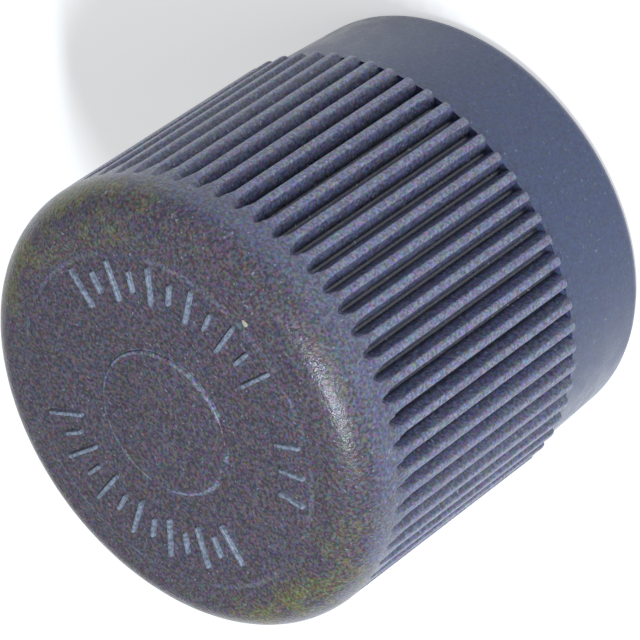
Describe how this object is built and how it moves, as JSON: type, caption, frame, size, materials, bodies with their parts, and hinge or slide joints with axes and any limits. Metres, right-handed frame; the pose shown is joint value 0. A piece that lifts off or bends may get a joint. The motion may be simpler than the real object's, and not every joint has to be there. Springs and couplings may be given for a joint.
{
  "type": "threaded protection cap",
  "caption": "Moulded plastic screw-on protection cap with a ribbed grip, a plain collar round its open end and a blind threaded bore.",
  "frame": {"origin": "centre of the open rim, in the plane that the cap stands on", "axes": "+Z along the cap's axis from the open rim to the closed end; the cap is round about it"},
  "size_m": [0.024, 0.024, 0.0232],
  "materials": {
    "cap_plastic": "moulded slate-grey polyamide with a fine spark-eroded grain"
  },
  "bodies": {
    "root": {"cap": "cap_plastic"}
  },
  "joints": []
}
